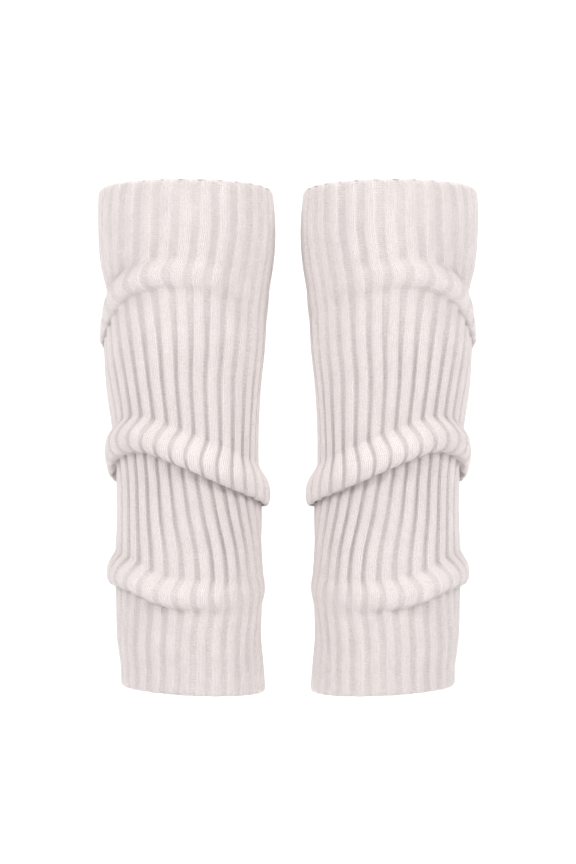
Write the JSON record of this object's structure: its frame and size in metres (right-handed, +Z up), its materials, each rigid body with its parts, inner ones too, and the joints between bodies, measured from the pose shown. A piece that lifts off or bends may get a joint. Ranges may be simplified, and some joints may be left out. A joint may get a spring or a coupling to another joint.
{
  "type": "pair of leg warmers",
  "caption": "Pair of rib-knit tubes, open at both ends, held in the rounded, slouching form that they take on a wearer's calves.",
  "frame": {"origin": "midway between the two legs, level with the backs of the top edges, where the wearer's calves hold the pair up", "axes": "+Z up along the legs, -Y to the front, +X to the viewer's right"},
  "size_m": [0.2794, 0.1236, 0.3685],
  "materials": {
    "rib_knit": "off-white brushed rib knit, soft and matt"
  },
  "bodies": {
    "root": {"leg_warmer_left": "rib_knit", "leg_warmer_right": "rib_knit"}
  },
  "joints": []
}
